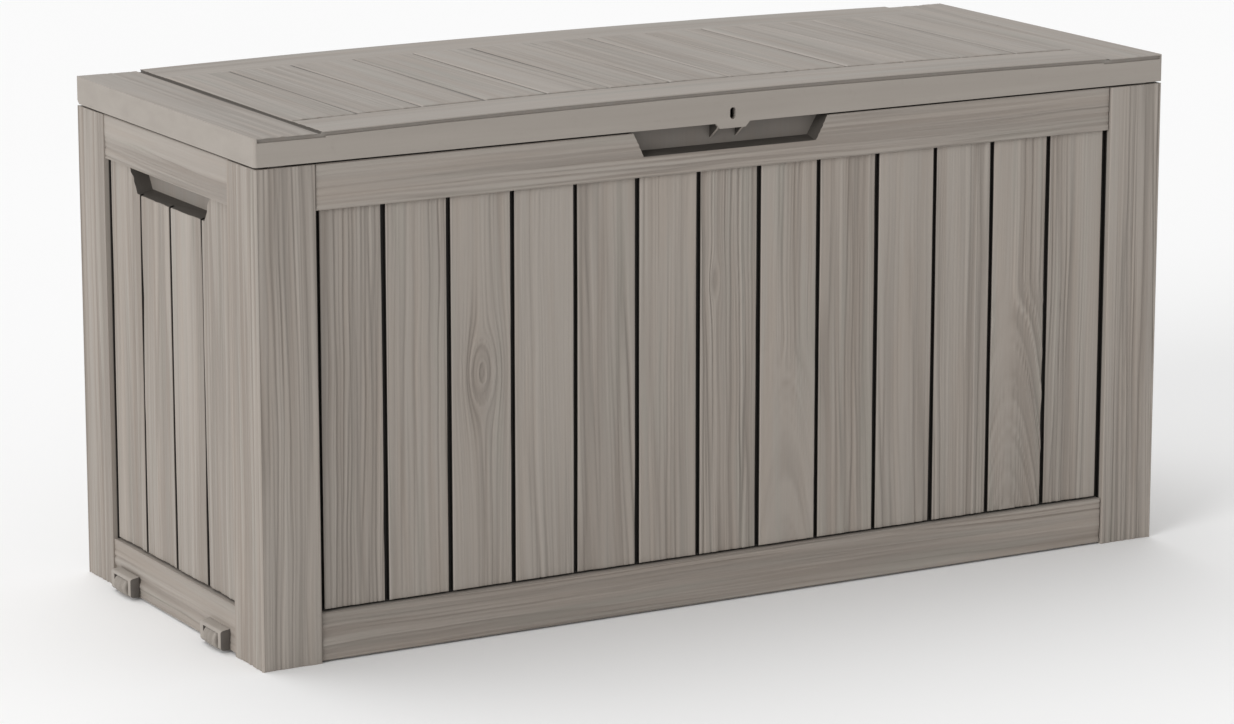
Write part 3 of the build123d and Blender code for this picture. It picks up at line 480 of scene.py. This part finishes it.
def grained_resin(name, light, dark, painted_valley_shade):
    """Moulded resin with a wood grain: streaks along the boards, low lines of the relief darkened with
    painted shade, and painted shade in the gaps between boards and in recesses.
    """
    s = Shader(name)
    place = s.add("ShaderNodeUVMap", {"uv_map": "grain"})
    relief = s.add("ShaderNodeAttribute", {"attribute_name": "relief"}, output=2)
    board = s.add("ShaderNodeAttribute", {"attribute_name": "board"})
    painted_darkening = s.add("ShaderNodeAttribute", {"attribute_name": "board"}, output=3)
    tone = s.add("ShaderNodeSeparateColor", {}, {0: board}, output=0)
    tint = s.add("ShaderNodeSeparateColor", {}, {0: board}, output=1)
    gap = s.add("ShaderNodeSeparateColor", {}, {0: board}, output=2)
    broad = s.noise(s.stretched(place, (40.0, 2.4, 1.0)), 1.0, 4.0, 0.55, 0.3)
    fine = s.noise(s.stretched(place, (320.0, 8.0, 1.0)), 1.0, 5.0, 0.6, 0.4)
    hair = s.noise(s.stretched(place, (950.0, 20.0, 1.0)), 1.0, 2.0)
    blush = s.noise(s.stretched(place, (55.0, 3.0, 1.0)), 1.0, 2.0, 0.5, 0.2)
    speck = s.noise(s.object_place(), 1500.0, 2.0)
    streaks = s.ramp(broad * 0.55 + fine * 0.45 + tone * 0.22, 0.34, 0.86)
    color = s.mix(streaks, light, dark)
    color = s.mix(s.ramp(blush + tint * 0.2, 0.52, 0.80) * 0.7, color, WARM, "MULTIPLY")
    color = s.mix(s.ramp(blush - tint * 0.2, 0.34, 0.10) * 0.7, color, COOL, "MULTIPLY")
    # painted shade: the low lines of the relief are darkened as if shade lay in them
    color = s.mix(s.ramp(relief, 0.95, 0.30) * painted_valley_shade, color, PORE_AND_CREASE_SHADE, "MULTIPLY")
    color = s.mix(s.ramp(hair, 0.60, 0.80) * 0.16, color, PORE_AND_CREASE_SHADE, "MULTIPLY")
    # painted shade in the recesses, in the step under the lid's lip and in the lid's seams
    color = s.mix(painted_darkening, color, PAINTED_SHADE_DARK)
    # painted shade in the gaps between boards, growing darker with depth behind the posts' faces
    color = s.mix(s.ramp(gap, GAP_TOP / DEPTH_UNIT, GAP_FULL / DEPTH_UNIT), color, GAP_PAINTED_SHADE)
    rough = fine * 0.14 + s.ramp(relief, 0.9, 0.4) * 0.08 + 0.46
    bumped = s.bump(fine * 0.5 + hair * 0.35 + speck * 0.15, 0.00030, 0.5)
    return s.finish(color, rough, bumped, **{"Specular IOR Level": 0.34})


def plain_resin(name, light, dark, clouds=(3.0, 26.0, 60.0)):
    """Smooth moulded resin with faint drawn-out clouds, a fine pebble and light scuffs."""
    s = Shader(name)
    place = s.object_place()
    cloud = s.noise(s.stretched(place, clouds), 1.0, 4.0, 0.55, 0.3)
    pebble = s.noise(place, 1500.0, 2.0)
    scuff = s.noise(place, 70.0, 5.0, 0.7)
    color = s.mix(s.ramp(cloud, 0.32, 0.70), light, dark)
    color = s.mix(s.ramp(scuff, 0.60, 0.82) * 0.18, color, PORE_AND_CREASE_SHADE, "MULTIPLY")
    rough = cloud * 0.14 + pebble * 0.06 + 0.42
    bumped = s.bump(pebble * 0.6 + cloud * 0.3, 0.00018, 0.4)
    return s.finish(color, rough, bumped, **{"Specular IOR Level": 0.36})


def metal(name, light, dark, rough, metallic, coat):
    """Coated or plated steel with cloudy wear and fine scratches."""
    s = Shader(name)
    place = s.object_place()
    cloud = s.noise(place, 45.0, 5.0, 0.6)
    scratch = s.noise(s.stretched(place, (60.0, 2400.0, 900.0)), 1.0, 2.0)
    color = s.mix(s.ramp(cloud, 0.35, 0.70), light, dark)
    color = s.mix(s.ramp(scratch, 0.62, 0.78) * 0.25, color, rgb(0.72, 0.72, 0.71))
    bumped = s.bump(cloud * 0.4 + scratch * 0.4, 0.00008, 0.5)
    return s.finish(color, cloud * 0.2 + rough, bumped, metallic, **{"Coat Weight": coat})


WALL_RESIN = grained_resin("taupe_grain", rgb(0.352, 0.316, 0.281), rgb(0.310, 0.277, 0.245), 0.55)
LID_RESIN = grained_resin("lid_grain", rgb(0.345, 0.314, 0.283), rgb(0.305, 0.276, 0.248), 0.40)
SKIRT_RESIN = plain_resin("skirt_resin", rgb(0.325, 0.292, 0.259), rgb(0.300, 0.269, 0.238))
INNER_RESIN = plain_resin(
    "inner_resin", rgb(0.315, 0.285, 0.255), rgb(0.275, 0.248, 0.222), (14.0, 14.0, 14.0),
)
# painted shade: a darker resin for the wheel housings' sides and underside
HOUSING_PAINTED_SHADE = plain_resin("housing_painted_shade_resin", rgb(0.125, 0.112, 0.10), rgb(0.095, 0.085, 0.076))
FLOOR_RESIN = plain_resin("floor_resin", rgb(0.27, 0.245, 0.22), rgb(0.225, 0.205, 0.185), (9.0, 9.0, 9.0))
WHEEL_RESIN = plain_resin(
    "wheel_resin", rgb(0.300, 0.268, 0.237), rgb(0.255, 0.228, 0.200), (40.0, 300.0, 40.0),
)
COATED_STEEL = metal("coated_steel", rgb(0.17, 0.155, 0.14), rgb(0.13, 0.12, 0.11), 0.36, 0.0, 0.2)
BRIGHT_STEEL = metal("bright_steel", rgb(0.62, 0.62, 0.62), rgb(0.48, 0.48, 0.48), 0.22, 1.0, 0.0)
STRUT_BLACK = metal("strut_black", rgb(0.030, 0.030, 0.032), rgb(0.018, 0.018, 0.019), 0.20, 0.0, 0.4)


# ---- walls -------------------------------------------------------------------------------------------
FACE_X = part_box("end_panel_right")[1][0]
FACE_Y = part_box("end_panel_left")[1][1]
SLAT_DEPTH = 4.0 * MM
SKIN = 0.6 * MM
# painted shade in the finger and carrying recesses: how far round each opening it reaches, from what depth a
# back wall counts, and how dark floors, sides and backs get
POCKET_REACH = 40.0 * MM
POCKET_BACK = 15.0 * MM
POCKET_SHADE = 0.95
BACK_SHADE = {"recess": 0.50, "handle_left": 0.30, "handle_right": 0.30}
WALL_SEED_STEP = 1.37

# slats from left to right: each knot is (across, along, radius, stretch) from the slat's middle, and
# arches are (middle, top, slope, spread)
FRONT_SLATS = {
    0: {"relief": 1.15, "coarse": 1.0, "lean": -0.004},
    1: {"relief": 0.75, "coarse": 1.1},
    2: {"relief": 0.85, "coarse": 0.9, "knots": ((0.002, 0.022, 0.016, 2.7),)},
    3: {"relief": 0.85, "coarse": 1.1, "lean": 0.006},
    4: {"relief": 1.2, "coarse": 1.6, "lean": 0.022},
    5: {"relief": 0.7, "coarse": 1.2},
    6: {"relief": 1.0, "coarse": 1.0, "knots": ((-0.018, 0.10, 0.006, 4.0),)},
    7: {"relief": 0.8, "coarse": 1.0, "arches": (0.010, 0.02, 0.22, 0.060)},
    8: {"relief": 1.1, "coarse": 1.3, "lean": 0.016},
    9: {"relief": 1.2, "coarse": 1.3},
    10: {"relief": 0.75, "coarse": 1.0},
    11: {"relief": 1.15, "coarse": 1.0, "arches": (0.0, 0.06, 0.30, 0.050)},
    12: {"relief": 1.0, "coarse": 0.95},
}
BACK_SLATS = {3: {"knots": ((0.004, -0.06, 0.013, 2.8),)}, 8: {"arches": (0.0, 0.05, 0.28, 0.05)}}
END_SLATS = {1: {"relief": 1.1}, 2: {"relief": 1.15}}


def outer_depth(co, way):
    """Distance behind the posts' outer face on that side."""
    return (FACE_X if abs(way.x) > 0.5 else FACE_Y) - co.dot(way)


def wall(node, ways, first_seed, slats):
    """Copies a wall's mesh and embosses each outward board, rail and post face of it."""
    bm = mesh_copy(node)
    layers = start_layers(bm)
    for face in bm.faces:
        shade_wall_face(face, ways, layers[2])
    number = 0
    for way in ways:
        facing = [
            f for f in bm.faces
            if f.normal.dot(way) > OUTWARD and outer_depth(f.calc_center_median(), way) < WALL_REACH
        ]
        groups = [g for g in islands(facing) if sum(f.calc_area() for f in g) > BOARD_AREA]
        sideways = RIGHT if abs(way.y) > 0.5 else FRONT
        groups.sort(key=lambda g: (round(extent(g, sideways)[0], 3), extent(g, UP)[0]))
        slat = 0
        for group in groups:
            across, _ = grain_ways(group, way)
            upright = abs(across.z) < 0.5
            recessed = outer_depth(group[0].calc_center_median(), way) > SLAT_DEPTH
            own = slats.get(slat, {}) if upright and recessed else {}
            slat += 1 if upright and recessed else 0
            number += 1
            board = Board(first_seed + number * WALL_SEED_STEP, **own)
            emboss(bm, group, way, board, GRAIN_DEPTH, layers)
    return piece(f"{node}_grained", bm, "box", [WALL_RESIN, INNER_RESIN], node)


def shade_wall_face(face, ways, board_id):
    """Inner faces are plain; side faces and bottoms of the gaps between boards carry their depth, which sets
    their painted shade; faces of the recesses get painted shade.
    """
    middle = face.calc_center_median()
    nearest = min(outer_depth(middle, way) for way in ways)
    face.material_index = 0 if nearest < SHEET_BACK + SKIN else 1
    own = [way for way in ways if face.normal.dot(way) > 0.9]
    if own and outer_depth(middle, own[0]) < GAP_STARTS:
        return
    for way in ways:
        depths = [outer_depth(v.co, way) for v in face.verts]
        beside = abs(face.normal.dot(way)) < 0.2 and min(depths) < GAP_STARTS and abs(face.normal.z) < 0.5
        bottom = face.normal.dot(way) > 0.9 and abs(max(depths) - SHEET_BACK) < SKIN / 2
        if beside or bottom:
            for loop in face.loops:
                tone, tint, _, painted_darkening = loop[board_id]
                depth = max(0.0, outer_depth(loop.vert.co, way))
                loop[board_id] = (tone, tint, depth / DEPTH_UNIT, painted_darkening)
    shade = pocket_shade(face, middle, ways[0])
    if shade:
        face.material_index = 0
        for loop in face.loops:
            loop[board_id] = (0.6, 0.5, 0.0, shade)


def pocket_shade(face, middle, way):
    """How much painted shade a face of a finger recess gets: its floor and sides most, its back less."""
    for name, (low, high) in POCKETS.items():
        if all(low[i] < v.co[i] < high[i] for i in range(3) for v in face.verts):
            facing = face.normal.dot(way)
            if facing > 0.9:
                return BACK_SHADE[name] if outer_depth(middle, way) > POCKET_BACK else 0.0
            if facing < -0.5 or face.normal.z < -0.5:
                return 0.0
            return POCKET_SHADE
    return 0.0


def pockets():
    """Boxes round the finger recess, both sides of its lug in one, and round the two carrying recesses."""
    reach = Vector((POCKET_REACH, POCKET_REACH, POCKET_REACH))
    found = {}
    for opening in frame["record"]["physics"]["openings"]:
        name = "recess" if "recess" in opening["name"] else opening["name"]
        if name in BACK_SHADE:
            low, high = (Vector(corner) for corner in opening["box_m"])
            old_low, old_high = found.get(name, (low, high))
            far = Vector(map(min, low - reach, old_low))
            near = Vector(map(max, high + reach, old_high))
            found[name] = (far, near)
    return found


POCKETS = pockets()
wall("front_panel", [FRONT], 1.0, FRONT_SLATS)
wall("back_panel", [BACK], 61.0, BACK_SLATS)
wall("end_panel_left", [LEFT, FRONT, BACK], 31.0, END_SLATS)
wall("end_panel_right", [RIGHT, FRONT, BACK], 97.0, END_SLATS)


# ---- lid ---------------------------------------------------------------------------------------------
def crown(x):
    """Rise of the lid's arc above its ends at x."""
    radius = (LID_HALF ** 2 + LID_CROWN ** 2) / (2 * LID_CROWN)
    return math.sqrt(radius ** 2 - x * x) - math.sqrt(radius ** 2 - LID_HALF ** 2)


LID_PLATE = 12.0 * MM
LID_RIM = 6.0 * MM
LID_TOPS = 11.0 * MM
LID_WALLS = 9.0 * MM
LIP_STARTS = 1.0 * MM
LIP_ENDS = 3.2 * MM
LIP_LEVEL = 16.0 * MM
# painted shade in the step under the lid's front lip and in the seams between the lid's boards
LIP_SHADE = 0.18
SEAM_SHADE = 0.78
CORNER_ROUND = 2.4 * MM
CORNER_REACH = 4.0 * MM
CORNER_HEIGHT = 15.0 * MM
BORDER_LENGTH = 0.5
LID_SEED = 150.0
LID_SEED_STEP = 1.71


def shade_loops(face, board_id, shade):
    """Gives a face the grained resin, darkened with painted shade."""
    face.material_index = 0
    for loop in face.loops:
        loop[board_id] = (0.5, 0.5, 0.0, shade)


def round_lid_corners(bm, high):
    """Rounds the lid's upright corners and the outer top edges of its two ends."""
    hard = [e for e in bm.edges if e.is_manifold and e.is_convex and e.calc_face_angle() > SHARP_ANGLE]
    ends = [
        e for e in hard
        if all(abs(v.co.x) > high.x - MM / 2 and v.co.z > high.z - LID_PLATE for v in e.verts)
    ]
    corners = [
        e for e in hard
        if abs(e.verts[0].co.z - e.verts[1].co.z) > CORNER_HEIGHT
        and all(abs(v.co.x) > high.x - CORNER_REACH for v in e.verts)
    ]
    bmesh.ops.bevel(
        bm, geom=list({*ends, *corners}), offset=CORNER_ROUND, segments=3, profile=0.5, affect="EDGES",
        material=-1, clamp_overlap=True,
    )


def shade_lid_face(face, low, high, board_id):
    """Skirt, underside, and painted shade in the lip's step and in the seams between boards."""
    middle = face.calc_center_median()
    to_side = min(middle.y - low.y, high.y - middle.y)
    inner = min(middle.x - low.x, high.x - middle.x, to_side) > LID_RIM
    below = high.z - middle.z
    face.material_index = 2 if face.normal.z < -0.2 or (inner and below > LID_PLATE) else 1
    if LIP_STARTS < to_side < LIP_ENDS and below < LIP_LEVEL and abs(middle.x) < high.x - CORNER_REACH:
        shade_loops(face, board_id, LIP_SHADE)
    walled = abs(face.normal.z) < 0.5 and below < LID_WALLS
    sunk = face.normal.z > 0.9 and below < LID_PLATE
    if inner and (walled or sunk):
        shade_loops(face, board_id, SEAM_SHADE)


def follows_crown(faces):
    """Level at any x of a board on the lid's arc."""
    rises = sorted(v.co.z - crown(v.co.x) for f in faces for v in f.verts)
    base = rises[len(rises) // 2]
    return lambda x: base + crown(x)


def lid():
    """Copies the lid's mesh and embosses its boards, border strips and end boards."""
    bm = mesh_copy("lid_shell")
    layers = start_layers(bm)
    low, high = (Vector(corner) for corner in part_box("lid_shell"))
    round_lid_corners(bm, high)
    for face in bm.faces:
        shade_lid_face(face, low, high, layers[2])
    tops = [f for f in bm.faces if f.normal.z > OUTWARD and f.calc_center_median().z > high.z - LID_TOPS]
    groups = [g for g in islands(tops) if sum(f.calc_area() for f in g) > BOARD_AREA]
    groups.sort(key=lambda g: (round(sum(extent(g, RIGHT)), 3), extent(g, BACK)[0]))
    for number, group in enumerate(groups):
        x_low, x_high = extent(group, RIGHT)
        border = x_high - x_low > BORDER_LENGTH
        arched_top = max(abs(x_low), abs(x_high)) < LID_HALF + 2 * MM
        level = follows_crown(group) if arched_top else None
        seed = LID_SEED + number * LID_SEED_STEP
        if border:
            board = Board(seed, 0.5, ways=(BACK, RIGHT), step=LID_GRAIN_STEP)
        else:
            board = Board(seed, 0.95, ways=(RIGHT, BACK), step=LID_GRAIN_STEP)
        depth = BORDER_DEPTH if border else LID_GRAIN_DEPTH
        ease = (LID_EDGE_ROUND, LID_EDGE_DROP) if arched_top and not border else (RIM_ROUND, RIM_DROP)
        emboss(bm, group, UP, board, depth, layers, level, RAGGED, ease)
    materials = [LID_RESIN, SKIRT_RESIN, INNER_RESIN]
    return piece("lid_shell_grained", bm, "lid", materials, "lid_shell")


lid()


# ---- wheels ------------------------------------------------------------------------------------------
WHEEL_ROUND = 3.5 * MM
ROUND_STEPS = 5
WHEEL_STEPS = 56
HOUSING_ROUND = 0.7 * MM
HOUSING_ANGLE = math.radians(40)
WHEEL_BORE = 3.06 * MM
HUB_RADIUS = 6.0 * MM
HUB_DISH = 1.2 * MM
TREADS = 9
TREAD_PITCH = 2.6 * MM
TREAD_WIDTH = 1.1 * MM
TREAD_DEPTH = 0.5 * MM


def wheel(place):
    """Roller turned from one outline: rounded shoulders, fine tread grooves and dished ends."""
    node = f"wheel_{place}"
    low, high = (Vector(corner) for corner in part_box(node))
    middle = (low + high) / 2
    radius, half = (high.z - low.z) / 2, (high.y - low.y) / 2
    shoulder = [(WHEEL_BORE, half - HUB_DISH), (HUB_RADIUS, half - HUB_DISH), (HUB_RADIUS + HUB_DISH, half)]
    for step in range(ROUND_STEPS + 1):
        turn = math.radians(90 * step / ROUND_STEPS)
        out, along = 1 - math.sin(turn), 1 - math.cos(turn)
        shoulder.append((radius - WHEEL_ROUND * out, half - WHEEL_ROUND * along))
    outline = shoulder[:]
    for number in range(TREADS):
        at = ((TREADS - 1) / 2 - number) * TREAD_PITCH
        for side, drop in ((0.5, 0.0), (0.25, TREAD_DEPTH), (-0.25, TREAD_DEPTH), (-0.5, 0.0)):
            outline.append((radius - drop, at + side * TREAD_WIDTH))
    outline += [(r, -y) for r, y in reversed(shoulder)]
    bm = bmesh.new()
    verts = [bm.verts.new((middle.x + r, middle.y + y, middle.z)) for r, y in outline]
    ring = [bm.edges.new(pair) for pair in zip(verts, verts[1:] + verts[:1])]
    bmesh.ops.spin(
        bm, geom=verts + ring, cent=middle, axis=(0, 1, 0), angle=math.tau, steps=WHEEL_STEPS, use_merge=True,
    )
    bmesh.ops.remove_doubles(bm, verts=bm.verts, dist=MERGE)
    bmesh.ops.recalc_face_normals(bm, faces=bm.faces)
    for face in bm.faces:
        face.smooth = False
    return piece(f"{node}_roller", bm, node, [WHEEL_RESIN], node)


def eased(node, body, width):
    """A copy of a CAD piece with its hard edges rounded and painted shade, a darker resin, on its sides and
    underside.
    """
    bm = mesh_copy(node)
    hard = [e for e in bm.edges if e.is_manifold and e.is_convex and e.calc_face_angle() > HOUSING_ANGLE]
    bmesh.ops.bevel(
        bm, geom=hard, offset=width, segments=2, profile=0.5, affect="EDGES", material=-1, clamp_overlap=True,
    )
    for face in bm.faces:
        # painted shade on the sides and underside
        if abs(face.normal.y) > 0.9 or face.normal.z < -0.5:
            face.material_index = 1
    return piece(f"{node}_eased", bm, body, [SKIRT_RESIN, HOUSING_PAINTED_SHADE], node)


for place in ("front", "rear"):
    wheel(place)
    eased(f"wheel_housing_{place}", "box", HOUSING_ROUND)


# ---- finishes of the CAD pieces that stay ------------------------------------------------------------
FINISH_OF = {
    "coated_steel": COATED_STEEL, "bright_steel": BRIGHT_STEEL, "strut_black": STRUT_BLACK,
    "floor_resin": FLOOR_RESIN,
}
for part in frame["record"]["subparts"]:
    finish = FINISH_OF.get(part["material_slot"])
    if finish:
        materials = frame["nodes"][part["node"]].data.materials
        materials.clear()
        materials.append(finish)


# ---- floor, light and camera -------------------------------------------------------------------------
CAMERA_PLACE = (-2.759, -4.879, 1.507)
CAMERA_HEADING = 29.36
CAMERA_DROP = 12.68
LENS = 135.2
SENSOR = 36.0
FLOOR_HALF = 60.0
SURROUNDINGS = 0.60


def place_in_scene(name, data, location=(0, 0, 0), rotation=None):
    """Adds an object with that data to the scene."""
    made = bpy.data.objects.new(name, data)
    made.location = location
    if rotation:
        made.rotation_euler = rotation
    bpy.context.scene.collection.objects.link(made)
    return made


def ground():
    """Plain pale floor."""
    bm = bmesh.new()
    bmesh.ops.create_grid(bm, x_segments=1, y_segments=1, size=FLOOR_HALF)
    mesh = bpy.data.meshes.new("studio_floor")
    bm.to_mesh(mesh)
    bm.free()
    s = Shader("studio_floor")
    soft = s.noise(s.object_place(), 0.6, 2.0)
    color = s.mix(soft, rgb(0.905, 0.905, 0.905), rgb(0.925, 0.925, 0.925))
    matte = s.finish(color, soft * 0.1 + 0.75, s.bump(soft, 0.001), **{"Specular IOR Level": 0.1})
    mesh.materials.append(matte)
    place_in_scene("studio_floor", mesh)


def sun(name, toward, strength, angle):
    """Distant soft light that travels along a direction."""
    data = bpy.data.lights.new(name, "SUN")
    data.energy = strength
    data.angle = math.radians(angle)
    place_in_scene(name, data, (0, 0, 3), Vector(toward).to_track_quat("-Z", "Y").to_euler())


def studio():
    """Even white surroundings, a soft light from behind and above, and one that rakes across the front."""
    world = bpy.data.worlds.new("studio")
    world.use_nodes = True
    background = world.node_tree.nodes["Background"]
    background.inputs["Color"].default_value = (1.0, 1.0, 1.0, 1.0)
    background.inputs["Strength"].default_value = SURROUNDINGS
    bpy.context.scene.world = world
    sun("back_key", (0.15, -0.62, -1.10), 1.15, 60)
    sun("rake", (0.88, 0.36, -0.30), 1.50, 28)


def camera():
    """Camera in front of the left corner, above the lid."""
    data = bpy.data.cameras.new("camera")
    data.lens = LENS
    data.sensor_width = SENSOR
    data.clip_end = 200.0
    turn = Euler((math.radians(90 - CAMERA_DROP), 0.0, math.radians(-CAMERA_HEADING)), "XYZ")
    bpy.context.scene.camera = place_in_scene("camera", data, CAMERA_PLACE, turn)


ground()
studio()
camera()
bpy.context.scene.view_settings.view_transform = "Standard"
